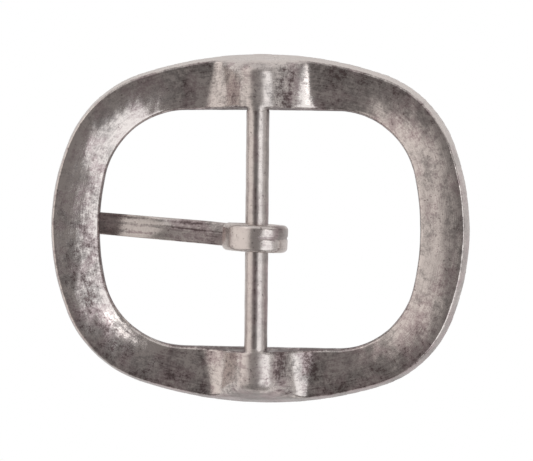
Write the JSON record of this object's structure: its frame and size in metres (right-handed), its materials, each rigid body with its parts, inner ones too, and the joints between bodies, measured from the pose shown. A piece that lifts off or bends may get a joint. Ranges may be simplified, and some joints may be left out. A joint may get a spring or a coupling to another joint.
{
  "type": "belt buckle",
  "caption": "Curved, rounded-oval centre-bar belt buckle with its bar raised on a bridge at each end and a rolled prong that swings on the bar to close against the end of the frame.",
  "frame": {"origin": "middle of the bar's axis", "axes": "+X across the bar, from the closed prong's tip towards the far end of the frame; +Y along the bar; +Z out of the back of the buckle, towards the wearer. It lies on its front."},
  "size_m": [0.0708, 0.059, 0.013],
  "materials": {
    "frame_metal": "antique silver plate over zinc casting, darkened and rubbed back",
    "prong_metal": "antique silver plate over steel, darkened and rubbed back"
  },
  "bodies": {
    "frame": {"frame": "frame_metal"},
    "prong": {"prong": "prong_metal"}
  },
  "joints": [
    {"name": "prong_swing", "type": "hinge", "parent": "frame", "child": "prong", "pos_m": [0, 0, 0], "axis": [0, -1, 0], "range_deg": [0, 157]}
  ]
}
